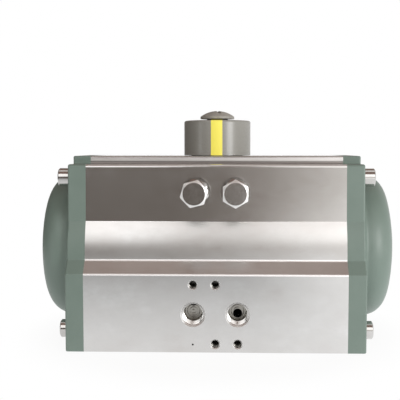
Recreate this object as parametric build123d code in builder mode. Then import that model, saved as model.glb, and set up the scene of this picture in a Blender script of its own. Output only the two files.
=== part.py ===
from build123d import *
import os
from math import acos, cos, pi, radians, sin, sqrt, tan

# A double-acting rack-and-pinion pneumatic valve actuator, in millimetres.
# Origin: the drive axis where it leaves the valve mounting face at the bottom.
# +X runs along the piston bore, -Y is the port side, +Z is up to the position indicator.

# Rack and pinion
gear_module = 1.5
pinion_teeth = 18
pressure_angle = 20.0
backlash = 0.24
rack_teeth = 8
rack_teeth_past_axis = 1
gear_width = 30.0
rack_height = 26.0
swing_angle = 90.0

# Pistons
crown_thickness = 15.0
piston_to_rack_gap = 2.6
piston_to_cap_gap = 1.31
piston_clearance = 0.4
running_clearance = 0.05
seat_clearance = 0.02
guide_band_width = 6.0
guide_band_thickness = 2.0
piston_seal_width = 3.4
piston_seal_depth = 3.0
piston_land = 2.2
rack_pad_length = 20.0
rack_pad_width = 18.0
rack_pad_thickness = 4.0
rack_back_clearance = 1.5
spring_seat_circle = 48.0
spring_seat_diameter = 15.0
spring_seat_depth = 6.0

# Body extrusion
bore_diameter = 80.0
floor_thickness = 12.3
roof_thickness = 12.75
panel_margin = 12.0
waist_margin = 6.4
crease_margin = 2.4
shoulder_margin = 1.0
panel_land = 5.4
waist_drop = 3.2
crease_rise = 17.45
pad_step = 4.4
pad_half_width = 26.0
extrusion_edge_radius = 0.8
shoulder_edge_radius = 1.6

# End caps
cap_flange_thickness = 9.9
dome_ledge = 4.8
dome_reach = 21.0
dome_crown_radius = 120.0
dome_knuckle_radius = 12.5
dome_wall = 4.2
dome_root_radius = 2.5
cap_edge_radius = 0.9
cap_seal_width = 2.0
cap_seal_depth = 1.5
cap_seal_land = 0.8

# Cap screws, M6 socket head
cap_screw_diameter = 6.0
cap_screw_head_diameter = 10.0
cap_screw_head_height = 6.0
cap_screw_head_chamfer = 0.5
cap_screw_key_width = 5.0
cap_screw_grip = 14.0
cap_screw_hole_spare = 2.0
cap_screw_hole_clearance = 0.3
cap_screw_side = 34.5
cap_screw_top_drop = 11.65
cap_screw_bottom_rise = 8.8

# Port panel, laid out as a solenoid valve interface
port_spacing = 24.0
port_height = 20.7
port_diameter = 11.45
port_mouth_diameter = 13.4
port_depth = 10.6
pilot_screw_rise = 16.0
pilot_screw_spacing = 12.0
pilot_screw_diameter = 4.2
pilot_screw_mouth = 5.4
pilot_screw_depth = 9.0
index_hole_diameter = 0.9
index_hole_depth = 1.0
index_hole_rise = 4.5
chamber_drilling_diameter = 5.0
chamber_drilling_drop = 1.3
duct_diameter = 4.0
duct_wall = 0.8
duct_seal_width = 1.5
duct_seal_depth = 1.2
duct_seal_land = 0.63
port_drilling_diameter = 4.2
port_drilling_slope = 25.0
cap_drilling_diameter = 2.4
cap_drilling_lean = 0.75

# Stop screws, M8 hexagon head with a locknut and a sealing washer
stop_arm = 10.7
stop_drop = 19.15
stop_diameter = 8.0
stop_tip_diameter = 6.0
stop_tip_length = 1.4
stop_hex = 13.0
stop_head_height = 5.4
stop_face_margin = 0.7
stop_head_slope = 60.0
stop_thread_out = 10.5
locknut_height = 6.2
seal_washer_diameter = 16.0
seal_washer_thickness = 1.6
stop_seat_depth = 0.5
stop_seat_margin = 0.5
stop_gap = 0.1
stop_turn_right = 30.0
stop_turn_left = 14.0
locknut_turn = 42.0

# Stop cam on the pinion
cam_radius = 19.0
cam_thickness = 7.9
cam_hub_radius = 13.8
cam_face_offset = 12.6
cam_bolt_overlap = 4.0
octagon_half_width = 11.3
cam_fit = 0.05

# Pinion journals and their bushes
stem_set_back = 1.0
stem_square = 17.0
stem_square_depth = 19.5
stem_socket_floor = 3.5
journal_margin = 0.25
lower_bush_wall = 1.5
upper_neck_margin = 0.6
upper_journal_diameter = 22.0
upper_bush_wall = 1.75
upper_bush_height = 7.5
shaft_seal_depth = 1.8
shaft_seal_width = 2.6
shaft_seal_land = 0.7
seal_step = 0.35
thrust_ring_width = 3.0
thrust_ring_thickness = 1.6
thrust_seat_margin = 0.3
thrust_washer_thickness = 1.5
thrust_washer_width = 4.5
circlip_thickness = 1.2
circlip_groove_depth = 0.8
circlip_width = 3.0
circlip_ear_radius = 2.2
circlip_ear_hole = 1.8
circlip_ear_inset = 0.4
circlip_ear_spread = 44.0
circlip_headroom = 2.0

# Accessory shaft above the pad
shaft_set_back = 0.4
shaft_key_diameter = 18.0
shaft_key_flats = 14.0
shaft_key_start = 4.8
shaft_end_diameter = 10.0
shaft_thread_diameter = 6.0
shaft_thread_depth = 15.0

# Position indicator
indicator_gap = 1.3
indicator_height = 20.4
indicator_wall = 2.8
indicator_roof = 3.0
indicator_edge_radius = 1.2
indicator_hub_diameter = 24.0
indicator_rib = 1.6
indicator_clearance = 0.3
stripe_width = 6.5
stripe_thickness = 0.8
indicator_screw_head_diameter = 20.0
indicator_screw_head_height = 4.7
indicator_screw_rim = 1.3
indicator_screw_slot = 1.8
indicator_screw_slot_depth = 1.5
indicator_screw_turn = 14.0
indicator_screw_length = 11.0
indicator_washer_diameter = 12.4
indicator_washer_thickness = 1.15

# Valve mounting face
flange_small_circle = 50.0
flange_small_hole = 5.0
flange_small_depth = 9.5
flange_large_circle = 70.0
flange_large_hole = 6.8
flange_large_depth = 12.0
spigot_diameter = 35.0
spigot_depth = 3.2

# Accessory mounting pattern on the pad
accessory_length = 80.0
accessory_width = 30.0
accessory_hole = 4.2
accessory_depth = 8.0

# Sizes that follow from the ones above
pitch_radius = gear_module * pinion_teeth / 2
tip_radius = pitch_radius + gear_module
root_radius = pitch_radius - 1.25 * gear_module
base_radius = pitch_radius * cos(radians(pressure_angle))
tooth_pitch = pi * gear_module
stroke = pitch_radius * radians(swing_angle)
bore_radius = bore_diameter / 2
bore_height = floor_thickness + bore_radius
top_height = bore_height + bore_radius + roof_thickness
rack_end = (rack_teeth - rack_teeth_past_axis - 0.5) * tooth_pitch
crown_inner = rack_end + piston_to_rack_gap
crown_outer = crown_inner + crown_thickness
body_end = crown_outer + stroke + piston_to_cap_gap
flange_end = body_end + cap_flange_thickness
dome_end = flange_end + dome_reach
dome_radius = bore_radius + waist_margin - dome_ledge
panel_face = bore_radius + panel_margin
panel_top = port_height + pilot_screw_rise + panel_land
port_floor = panel_face - port_depth
shoulder_height = top_height - pad_step
stop_height = top_height - stop_drop
duct_side = port_floor - duct_wall - duct_diameter / 2
duct_seal_radius = duct_diameter / 2 + duct_seal_width
cap_seal_outer = bore_radius + cap_seal_land + cap_seal_width
duct_ring = cap_seal_outer + duct_seal_land + duct_seal_radius
duct_height = bore_height - sqrt(duct_ring**2 - duct_side**2)
lower_journal_radius = tip_radius + journal_margin
upper_journal_radius = upper_journal_diameter / 2
cavity_radius = dome_radius - dome_wall
cap_screw_low = cap_screw_bottom_rise
cap_screw_high = top_height - cap_screw_top_drop

# Shared outline of the body and its caps, drawn looking along the bore
with BuildSketch() as outline:
    with BuildLine() as half_outline:
        floor_line = Line((0, 0), (panel_face, 0))
        panel_line = Line(floor_line @ 1, (panel_face, panel_top))
        waist = Line(panel_line @ 1, (bore_radius + waist_margin, bore_height - waist_drop))
        flank = TangentArc(
            waist @ 1, (bore_radius + crease_margin, bore_height + crease_rise), tangent=(0, 1)
        )
        upper_flat = Line(flank @ 1, (bore_radius + shoulder_margin, shoulder_height))
        shoulder = Line(upper_flat @ 1, (pad_half_width, shoulder_height))
        pad_side = Line(shoulder @ 1, (pad_half_width, top_height))
        Line(pad_side @ 1, (0, top_height))
        mirror(about=Plane.YZ)
    make_face()
    shoulder_edge = (upper_flat @ 1).X
    fillet(
        outline.vertices().filter_by(
            lambda corner: abs(corner.X) > 1 and abs(abs(corner.X) - shoulder_edge) > 0.01
        ),
        extrusion_edge_radius,
    )
    fillet(
        outline.vertices().filter_by(lambda corner: abs(abs(corner.X) - shoulder_edge) < 0.01),
        shoulder_edge_radius,
    )

# Body: extruded and bored, then drilled for the ports, stops and fixings
lower_seat_radius = lower_journal_radius + seal_step
lower_bush_radius = lower_journal_radius + running_clearance + lower_bush_wall
lower_bush_base = spigot_depth + shaft_seal_width + 2 * shaft_seal_land
upper_seat_radius = upper_journal_radius + seal_step
upper_bush_radius = upper_journal_radius + running_clearance + upper_bush_wall
upper_bush_base = top_height - upper_bush_height
thrust_ring_radius = upper_journal_radius + thrust_ring_width
thrust_seat_radius = thrust_ring_radius + thrust_seat_margin
bore_top = bore_height + bore_radius
stop_seat_face = bore_radius + shoulder_margin - stop_seat_depth

with BuildPart() as body:
    with BuildSketch(Plane.YZ):
        add(outline.sketch)
    extrude(amount=body_end, both=True)
    with BuildSketch(Plane.YZ):
        with Locations((0, bore_height)):
            Circle(bore_radius)
    extrude(amount=body_end, both=True, mode=Mode.SUBTRACT)
    # spigot recess, seal seat and bush seat of the lower journal
    with BuildSketch(Plane.XY):
        Circle(spigot_diameter / 2)
    extrude(amount=spigot_depth, mode=Mode.SUBTRACT)
    with BuildSketch(Plane.XY):
        Circle(lower_seat_radius)
    extrude(amount=bore_height, mode=Mode.SUBTRACT)
    with BuildSketch(Plane.XY.offset(lower_bush_base)):
        Circle(lower_bush_radius)
    extrude(amount=floor_thickness, mode=Mode.SUBTRACT)
    # upper journal: seal seat, bush seat and the flat seat of the thrust ring
    with BuildSketch(Plane.XY.offset(bore_height)):
        Circle(upper_seat_radius)
    extrude(amount=top_height, mode=Mode.SUBTRACT)
    with BuildSketch(Plane.XY.offset(upper_bush_base)):
        Circle(upper_bush_radius)
    extrude(amount=top_height, mode=Mode.SUBTRACT)
    with BuildSketch(Plane.XY.offset(bore_height)):
        Circle(thrust_seat_radius)
    extrude(amount=bore_radius, mode=Mode.SUBTRACT)
    # tapped holes of both valve flange circles
    with BuildSketch(Plane.XY):
        with PolarLocations(flange_small_circle / 2, 4, start_angle=45):
            Circle(flange_small_hole / 2)
    extrude(amount=flange_small_depth, mode=Mode.SUBTRACT)
    with BuildSketch(Plane.XY):
        with PolarLocations(flange_large_circle / 2, 4, start_angle=45):
            Circle(flange_large_hole / 2)
    extrude(amount=flange_large_depth, mode=Mode.SUBTRACT)
    # tapped holes for accessories on the pad
    with BuildSketch(Plane.XY.offset(top_height)):
        with GridLocations(accessory_length, accessory_width, 2, 2):
            Circle(accessory_hole / 2)
    extrude(amount=-accessory_depth, mode=Mode.SUBTRACT)
    # tapped holes for the cap screws
    for end in (body_end, -body_end):
        with BuildSketch(Plane.YZ.offset(end)):
            with Locations((0, cap_screw_low), (0, cap_screw_high)):
                with GridLocations(2 * cap_screw_side, 0, 2, 1):
                    Circle(cap_screw_diameter / 2 + running_clearance)
        extrude(amount=cap_screw_grip + cap_screw_hole_spare, both=True, mode=Mode.SUBTRACT)
    # air ports with countersunk mouths
    with BuildSketch(Plane.XZ.offset(panel_face)):
        with Locations((0, port_height)):
            with GridLocations(port_spacing, 0, 2, 1):
                Circle(port_diameter / 2)
    extrude(amount=-port_depth, mode=Mode.SUBTRACT)
    with BuildSketch(Plane.XZ.offset(panel_face)):
        with Locations((0, port_height)):
            with GridLocations(port_spacing, 0, 2, 1):
                Circle(port_mouth_diameter / 2)
    extrude(amount=-(port_mouth_diameter - port_diameter) / 2, taper=45, mode=Mode.SUBTRACT)
    # the right port opens straight into the chamber between the pistons
    with BuildSketch(Plane.XZ.offset(panel_face)):
        with Locations((port_spacing / 2, port_height - chamber_drilling_drop)):
            Circle(chamber_drilling_diameter / 2)
    extrude(amount=-panel_face, mode=Mode.SUBTRACT)
    # the left port opens through a slanted drilling into a duct that feeds both end chambers
    with BuildSketch(Plane.YZ):
        with Locations((-duct_side, duct_height)):
            Circle(duct_diameter / 2)
    extrude(amount=body_end, both=True, mode=Mode.SUBTRACT)
    slope = radians(port_drilling_slope)
    drilling_way = Vector(0, cos(slope), sin(slope))
    drilling_start = Vector(-port_spacing / 2, -port_floor, duct_height) - drilling_way * duct_diameter
    with BuildSketch(Plane(origin=drilling_start, z_dir=drilling_way)):
        Circle(port_drilling_diameter / 2)
    extrude(
        amount=duct_diameter + (port_floor - duct_side) / cos(slope), mode=Mode.SUBTRACT
    )
    # tapped holes that hold the solenoid valve, with countersunk mouths, and a small index hole
    pilot_places = [
        (-pilot_screw_spacing, port_height + pilot_screw_rise),
        (0, port_height + pilot_screw_rise),
        (0, port_height - pilot_screw_rise),
        (pilot_screw_spacing, port_height - pilot_screw_rise),
    ]
    with BuildSketch(Plane.XZ.offset(panel_face)):
        with Locations(*pilot_places):
            Circle(pilot_screw_diameter / 2)
    extrude(amount=-pilot_screw_depth, mode=Mode.SUBTRACT)
    with BuildSketch(Plane.XZ.offset(panel_face)):
        with Locations(*pilot_places):
            Circle(pilot_screw_mouth / 2)
    extrude(amount=-(pilot_screw_mouth - pilot_screw_diameter) / 2, taper=45, mode=Mode.SUBTRACT)
    with BuildSketch(Plane.XZ.offset(panel_face)):
        with Locations((-pilot_screw_spacing, index_hole_rise)):
            Circle(index_hole_diameter / 2)
    extrude(amount=-index_hole_depth, mode=Mode.SUBTRACT)
    # stop screw holes with a milled seat for each sealing washer
    with BuildSketch(Plane.XZ.offset(panel_face)):
        with Locations((0, stop_height)):
            with GridLocations(2 * stop_arm, 0, 2, 1):
                Circle(stop_diameter / 2 + running_clearance)
    extrude(amount=-panel_face, mode=Mode.SUBTRACT)
    with BuildSketch(Plane.XZ.offset(stop_seat_face)):
        with Locations((0, stop_height)):
            with GridLocations(2 * stop_arm, 0, 2, 1):
                Circle(seal_washer_diameter / 2 + stop_seat_margin)
    extrude(amount=panel_face - stop_seat_face, mode=Mode.SUBTRACT)
body.part.label = "body"

# End cap: die-cast flange of the body's outline with a hollow dome over the bore
dome_corner = dome_end - dome_crown_radius + sqrt(dome_crown_radius**2 - dome_radius**2)
cavity_end = dome_end - dome_wall
cavity_crown_radius = dome_crown_radius - dome_wall
cavity_corner = cavity_end - cavity_crown_radius + sqrt(cavity_crown_radius**2 - cavity_radius**2)
cap_seal_inner = bore_radius + cap_seal_land
flange_middle = body_end + cap_flange_thickness / 2
bore_axis = Axis((0, 0, bore_height), (1, 0, 0))

with BuildPart() as end_cap_right:
    with BuildSketch(Plane.YZ.offset(body_end)):
        add(outline.sketch)
    extrude(amount=cap_flange_thickness)
    fillet(end_cap_right.faces().sort_by(Axis.X)[-1].outer_wire().edges(), cap_edge_radius)
    with BuildSketch(Plane.XZ) as dome_profile:
        with BuildLine():
            dome_back = Line((flange_middle, bore_height), (flange_middle, bore_height + dome_radius))
            dome_wall_line = Line(dome_back @ 1, (dome_corner, bore_height + dome_radius))
            crown = RadiusArc(dome_wall_line @ 1, (dome_end, bore_height), dome_crown_radius)
            Line(crown @ 1, dome_back @ 0)
        make_face()
        fillet(
            dome_profile.vertices().group_by(Axis.Y)[-1].sort_by(Axis.X)[-1], dome_knuckle_radius
        )
    revolve(axis=bore_axis)
    dome_root = end_cap_right.edges().filter_by(GeomType.CIRCLE).filter_by(
        lambda edge: abs(edge.radius - dome_radius) < 0.01
        and abs(edge.center().X - flange_end) < 0.01
    )
    fillet(dome_root, dome_root_radius)
    with BuildSketch(Plane.XZ) as cavity_profile:
        with BuildLine():
            cavity_back = Line((body_end, bore_height), (body_end, bore_height + cavity_radius))
            cavity_wall = Line(cavity_back @ 1, (cavity_corner, bore_height + cavity_radius))
            inner_crown = RadiusArc(cavity_wall @ 1, (cavity_end, bore_height), cavity_crown_radius)
            Line(inner_crown @ 1, cavity_back @ 0)
        make_face()
        fillet(
            cavity_profile.vertices().group_by(Axis.Y)[-1].sort_by(Axis.X)[-1],
            dome_knuckle_radius - dome_wall,
        )
    revolve(axis=bore_axis, mode=Mode.SUBTRACT)
    # seal groove round the bore
    with BuildSketch(Plane.YZ.offset(body_end)):
        with Locations((0, bore_height)):
            Circle(cap_seal_outer)
            Circle(cap_seal_inner, mode=Mode.SUBTRACT)
    extrude(amount=cap_seal_depth, mode=Mode.SUBTRACT)
    # mouth of the air duct, its seal recess and the slanted drilling into the dome
    with BuildSketch(Plane.YZ.offset(body_end)):
        with Locations((-duct_side, duct_height)):
            Circle(duct_seal_radius)
    extrude(amount=duct_seal_depth, mode=Mode.SUBTRACT)
    mouth = Vector(body_end + duct_seal_depth / 2, -duct_side, duct_height)
    to_axis = Vector(0, duct_side, bore_height - duct_height).normalized()
    with BuildSketch(Plane(origin=mouth, z_dir=to_axis + Vector(cap_drilling_lean, 0, 0))):
        Circle(cap_drilling_diameter / 2)
    extrude(amount=duct_side / 2, mode=Mode.SUBTRACT)
    # clearance holes for the cap screws
    with BuildSketch(Plane.YZ.offset(body_end)):
        with Locations((0, cap_screw_low), (0, cap_screw_high)):
            with GridLocations(2 * cap_screw_side, 0, 2, 1):
                Circle(cap_screw_diameter / 2 + cap_screw_hole_clearance)
    extrude(amount=cap_flange_thickness, mode=Mode.SUBTRACT)
end_cap_right.part.label = "end_cap_right"

with BuildPart() as end_cap_left:
    mirror(end_cap_right.part, about=Plane.YZ)
end_cap_left.part.label = "end_cap_left"

# Rubber ring squeezed flush in the groove of each end cap
with BuildPart() as cap_seal_right:
    with BuildSketch(Plane.YZ.offset(body_end)):
        with Locations((0, bore_height)):
            Circle(cap_seal_outer)
            Circle(cap_seal_inner, mode=Mode.SUBTRACT)
    extrude(amount=cap_seal_depth)
cap_seal_right.part.label = "cap_seal_right"

with BuildPart() as cap_seal_left:
    mirror(cap_seal_right.part, about=Plane.YZ)
cap_seal_left.part.label = "cap_seal_left"

# Small rings that seal the air duct between the body and each cap
with BuildPart() as duct_seals:
    with BuildSketch(Plane.YZ.offset(body_end)):
        with Locations((-duct_side, duct_height)):
            Circle(duct_seal_radius)
            Circle(duct_diameter / 2, mode=Mode.SUBTRACT)
    extrude(amount=duct_seal_depth)
    mirror(about=Plane.YZ)
duct_seals.part.label = "duct_seals"

# Socket head screws of one cap, heads against the flange
with BuildPart() as cap_screws_right:
    with BuildSketch(Plane.YZ.offset(flange_end)):
        with Locations((0, cap_screw_low), (0, cap_screw_high)):
            with GridLocations(2 * cap_screw_side, 0, 2, 1):
                Circle(cap_screw_head_diameter / 2)
    extrude(amount=cap_screw_head_height)
    chamfer(cap_screws_right.faces().group_by(Axis.X)[-1].edges(), cap_screw_head_chamfer)
    with BuildSketch(Plane.YZ.offset(flange_end + cap_screw_head_height)):
        with Locations((0, cap_screw_low), (0, cap_screw_high)):
            with GridLocations(2 * cap_screw_side, 0, 2, 1):
                RegularPolygon(cap_screw_key_width / 2, 6, major_radius=False)
    extrude(amount=-cap_screw_head_height / 2, mode=Mode.SUBTRACT)
    with BuildSketch(Plane.YZ.offset(flange_end)):
        with Locations((0, cap_screw_low), (0, cap_screw_high)):
            with GridLocations(2 * cap_screw_side, 0, 2, 1):
                Circle(cap_screw_diameter / 2)
    extrude(amount=-(cap_flange_thickness + cap_screw_grip))
cap_screws_right.part.label = "cap_screws_right"

with BuildPart() as cap_screws_left:
    mirror(cap_screws_right.part, about=Plane.YZ)
cap_screws_left.part.label = "cap_screws_left"

# Stop screws: the right one ends the closing swing, the left one the opening swing
nut_face = stop_seat_face + seal_washer_thickness
stop_head_face = nut_face + locknut_height + stop_thread_out
stop_tip_face = cam_face_offset + stop_gap

stop_screws = []
for label, side, turn in (("left", -1, stop_turn_left), ("right", 1, stop_turn_right)):
    with BuildPart() as stop_screw:
        with BuildSketch(Plane.XZ.offset(stop_head_face)):
            with Locations((side * stop_arm, stop_height)):
                RegularPolygon(stop_hex / 2, 6, major_radius=False, rotation=turn)
        extrude(amount=stop_head_height)
        with BuildSketch(Plane.XZ.offset(stop_head_face + stop_head_height)):
            with Locations((side * stop_arm, stop_height)):
                Circle(stop_hex / 2 - stop_face_margin)
        extrude(amount=-stop_head_height, taper=-stop_head_slope, mode=Mode.INTERSECT)
        with BuildSketch(Plane.XZ.offset(stop_head_face)):
            with Locations((side * stop_arm, stop_height)):
                Circle(stop_diameter / 2)
        extrude(amount=-(stop_head_face - stop_tip_face - stop_tip_length))
        with BuildSketch(Plane.XZ.offset(stop_tip_face + stop_tip_length)):
            with Locations((side * stop_arm, stop_height)):
                Circle(stop_tip_diameter / 2)
        extrude(amount=-stop_tip_length)
    stop_screw.part.label = f"stop_screw_{label}"
    stop_screws.append(stop_screw)

# Locknuts that hold the stop screws where they are set
with BuildPart() as locknuts:
    with BuildSketch(Plane.XZ.offset(nut_face)):
        with Locations((0, stop_height)):
            with GridLocations(2 * stop_arm, 0, 2, 1):
                RegularPolygon(stop_hex / 2, 6, major_radius=False, rotation=locknut_turn)
                Circle(stop_diameter / 2 + running_clearance, mode=Mode.SUBTRACT)
    extrude(amount=locknut_height)
locknuts.part.label = "locknuts"

# Sealing washers between the locknuts and their milled seats
with BuildPart() as seal_washers:
    with BuildSketch(Plane.XZ.offset(stop_seat_face)):
        with Locations((0, stop_height)):
            with GridLocations(2 * stop_arm, 0, 2, 1):
                Circle(seal_washer_diameter / 2)
                Circle(stop_diameter / 2 + running_clearance, mode=Mode.SUBTRACT)
    extrude(amount=seal_washer_thickness)
seal_washers.part.label = "seal_washers"

# Acetal bushes that guide the pinion in the floor and the roof of the body
with BuildPart() as lower_bush:
    with BuildSketch(Plane.XY.offset(lower_bush_base)):
        Circle(lower_bush_radius - seat_clearance)
        Circle(lower_journal_radius + running_clearance, mode=Mode.SUBTRACT)
    extrude(amount=floor_thickness - lower_bush_base - seal_step)
lower_bush.part.label = "lower_bush"

with BuildPart() as upper_bush:
    with BuildSketch(Plane.XY.offset(upper_bush_base)):
        Circle(upper_bush_radius - seat_clearance)
        Circle(upper_journal_radius + running_clearance, mode=Mode.SUBTRACT)
    extrude(amount=upper_bush_height)
upper_bush.part.label = "upper_bush"

# Thrust ring between the cam hub and the roof of the bore
hub_top = bore_top - thrust_ring_thickness - running_clearance
with BuildPart() as thrust_ring:
    with BuildSketch(Plane.XY.offset(bore_top - thrust_ring_thickness)):
        Circle(thrust_ring_radius)
        Circle(upper_journal_radius + running_clearance, mode=Mode.SUBTRACT)
    extrude(amount=thrust_ring_thickness)
thrust_ring.part.label = "thrust_ring"

# Pinion: one steel piece from the female valve drive to the accessory shaft
cam_top = stop_height - stop_tip_diameter / 2 + cam_bolt_overlap
cam_base = cam_top - cam_thickness
gear_base = bore_height - gear_width / 2
shank_top = stem_set_back + stem_square_depth + stem_socket_floor
octagon_corner = octagon_half_width / cos(radians(22.5))
key_base = top_height + shaft_key_start
indicator_top = top_height + indicator_height
roof_base = indicator_top - indicator_roof
key_top = roof_base - running_clearance
shaft_top = indicator_top - shaft_set_back
lower_groove_base = spigot_depth + (lower_bush_base - spigot_depth - shaft_seal_width) / 2
upper_groove_base = bore_top + (upper_bush_base - bore_top - shaft_seal_width) / 2
washer_base = top_height + running_clearance
circlip_base = washer_base + thrust_washer_thickness + running_clearance


def involute_angle(radius):
    """Angle that an involute flank has turned through where it reaches this radius."""
    roll = acos(base_radius / radius)
    return tan(roll) - roll


half_tooth = (tooth_pitch / 2 - backlash / 2) / (2 * pitch_radius) + involute_angle(pitch_radius)
flank_radii = [base_radius + (tip_radius - base_radius) * step / 4 for step in range(5)]
flank_points = [
    (r * cos(half_tooth - involute_angle(r)), r * sin(half_tooth - involute_angle(r)))
    for r in flank_radii
]

with BuildSketch() as tooth:
    with BuildLine():
        upper_flank = Spline(*flank_points)
        lower_flank = Spline(*[(x, -y) for x, y in flank_points])
        ThreePointArc(upper_flank @ 1, (tip_radius, 0), lower_flank @ 1)
        foot = root_radius - gear_module / 2
        Polyline(
            upper_flank @ 0,
            (foot * cos(half_tooth), foot * sin(half_tooth)),
            (foot * cos(half_tooth), -foot * sin(half_tooth)),
            lower_flank @ 0,
        )
    make_face()

with BuildPart() as pinion:
    with BuildSketch(Plane.XY.offset(stem_set_back)):
        Circle(lower_journal_radius)
    extrude(amount=shank_top - stem_set_back)
    with BuildSketch(Plane.XY.offset(shank_top)):
        Circle(root_radius)
    extrude(amount=gear_base - shank_top)
    with BuildSketch(Plane.XY.offset(gear_base)):
        Circle(root_radius)
        with PolarLocations(0, pinion_teeth, start_angle=90 + 180 / pinion_teeth):
            add(tooth.sketch)
    extrude(amount=gear_width)
    with BuildSketch(Plane.XY.offset(gear_base + gear_width)):
        Circle(octagon_corner + upper_neck_margin)
    extrude(amount=cam_base - gear_base - gear_width)
    with BuildSketch(Plane.XY.offset(cam_base)):
        RegularPolygon(octagon_half_width, 8, major_radius=False, rotation=22.5)
    extrude(amount=hub_top - cam_base)
    with BuildSketch(Plane.XY.offset(hub_top)):
        Circle(upper_journal_radius)
    extrude(amount=key_base - hub_top)
    with BuildSketch(Plane.XY.offset(key_base)):
        Circle(shaft_key_diameter / 2)
        Rectangle(shaft_key_flats, shaft_key_diameter, mode=Mode.INTERSECT)
    extrude(amount=key_top - key_base)
    with BuildSketch(Plane.XY.offset(key_top)):
        Circle(shaft_end_diameter / 2)
    extrude(amount=shaft_top - key_top)
    # grooves of the two shaft seals and the circlip
    with BuildSketch(Plane.XY.offset(lower_groove_base)):
        Circle(lower_journal_radius)
        Circle(lower_journal_radius - shaft_seal_depth, mode=Mode.SUBTRACT)
    extrude(amount=shaft_seal_width, mode=Mode.SUBTRACT)
    with BuildSketch(Plane.XY.offset(upper_groove_base)):
        Circle(upper_journal_radius)
        Circle(upper_journal_radius - shaft_seal_depth, mode=Mode.SUBTRACT)
    extrude(amount=shaft_seal_width, mode=Mode.SUBTRACT)
    with BuildSketch(Plane.XY.offset(circlip_base)):
        Circle(upper_journal_radius)
        Circle(upper_journal_radius - circlip_groove_depth, mode=Mode.SUBTRACT)
    extrude(amount=circlip_thickness + running_clearance, mode=Mode.SUBTRACT)
    # double-square socket for the valve stem and the thread for the indicator screw
    with BuildSketch(Plane.XY.offset(stem_set_back)):
        Rectangle(stem_square, stem_square)
        Rectangle(stem_square, stem_square, rotation=45)
    extrude(amount=stem_square_depth, mode=Mode.SUBTRACT)
    with BuildSketch(Plane.XY.offset(shaft_top)):
        Circle(shaft_thread_diameter / 2 + running_clearance)
    extrude(amount=-shaft_thread_depth, mode=Mode.SUBTRACT)
pinion.part.label = "pinion"

# Rubber rings in the two pinion grooves
with BuildPart() as lower_shaft_seal:
    with BuildSketch(Plane.XY.offset(lower_groove_base)):
        Circle(lower_seat_radius - running_clearance)
        Circle(lower_journal_radius - shaft_seal_depth + seat_clearance, mode=Mode.SUBTRACT)
    extrude(amount=shaft_seal_width)
lower_shaft_seal.part.label = "lower_shaft_seal"

with BuildPart() as upper_shaft_seal:
    with BuildSketch(Plane.XY.offset(upper_groove_base)):
        Circle(upper_seat_radius - running_clearance)
        Circle(upper_journal_radius - shaft_seal_depth + seat_clearance, mode=Mode.SUBTRACT)
    extrude(amount=shaft_seal_width)
upper_shaft_seal.part.label = "upper_shaft_seal"

# Stop cam: a hub on the octagon and a sector whose two flat ends meet the stop screws
with BuildPart() as stop_cam:
    with BuildSketch(Plane.XY.offset(cam_base)):
        Circle(cam_hub_radius)
    extrude(amount=hub_top - cam_base)
    with BuildSketch(Plane.XY.offset(cam_base)):
        Circle(cam_radius)
        with Locations((0, -cam_face_offset)):
            Rectangle(
                2 * cam_radius, cam_radius, align=(Align.CENTER, Align.MAX), mode=Mode.SUBTRACT
            )
        with Locations((-cam_face_offset, 0)):
            Rectangle(
                cam_radius, 2 * cam_radius, align=(Align.MAX, Align.CENTER), mode=Mode.SUBTRACT
            )
        Rectangle(cam_radius, cam_radius, align=(Align.MAX, Align.MAX), mode=Mode.SUBTRACT)
    extrude(amount=cam_thickness)
    with BuildSketch(Plane.XY.offset(cam_base)):
        RegularPolygon(octagon_half_width + cam_fit, 8, major_radius=False, rotation=22.5)
    extrude(amount=hub_top - cam_base, mode=Mode.SUBTRACT)
stop_cam.part.label = "stop_cam"

# Thrust washer on the pad and the circlip that keeps the pinion in the body
with BuildPart() as thrust_washer:
    with BuildSketch(Plane.XY.offset(washer_base)):
        Circle(upper_journal_radius + thrust_washer_width)
        Circle(upper_journal_radius + running_clearance, mode=Mode.SUBTRACT)
    extrude(amount=thrust_washer_thickness)
thrust_washer.part.label = "thrust_washer"

circlip_inner = upper_journal_radius - circlip_groove_depth + seat_clearance
ear_circle = circlip_inner + circlip_width - circlip_ear_inset
with BuildPart() as circlip:
    with BuildSketch(Plane.XY.offset(circlip_base)):
        Circle(circlip_inner + circlip_width)
        with PolarLocations(ear_circle, 2, 90 - circlip_ear_spread / 2, circlip_ear_spread, endpoint=True):
            Circle(circlip_ear_radius)
            Circle(circlip_ear_hole / 2, mode=Mode.SUBTRACT)
        Circle(circlip_inner, mode=Mode.SUBTRACT)
        Rectangle(
            circlip_inner / 2,
            2 * circlip_inner,
            align=(Align.CENTER, Align.MIN),
            mode=Mode.SUBTRACT,
        )
    extrude(amount=circlip_thickness)
circlip.part.label = "circlip"

# Yellow strip that lies flush in the indicator, down its front, over the top and down its back
indicator_base = top_height + indicator_clearance
indicator_radius = upper_journal_radius + thrust_washer_width + indicator_gap + indicator_wall
indicator_diameter = 2 * indicator_radius
spigot_hole_radius = shaft_end_diameter / 2 + seal_step

with BuildPart() as indicator_stripe:
    with BuildSketch(Plane.XY.offset(indicator_base)):
        Circle(indicator_radius)
    extrude(amount=indicator_top - indicator_base)
    fillet(indicator_stripe.faces().sort_by(Axis.Z)[-1].edges(), indicator_edge_radius)
    with BuildSketch(Plane.XY.offset(indicator_base)):
        Circle(indicator_radius - stripe_thickness)
    extrude(amount=indicator_top - indicator_base - stripe_thickness, mode=Mode.SUBTRACT)
    with BuildSketch(Plane.XY.offset(indicator_base)):
        Rectangle(stripe_width, indicator_diameter)
    extrude(amount=indicator_height, mode=Mode.INTERSECT)
    with BuildSketch(Plane.XY.offset(indicator_base)):
        Circle(spigot_hole_radius)
    extrude(amount=indicator_height, mode=Mode.SUBTRACT)
indicator_stripe.part.label = "indicator_stripe"

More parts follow.
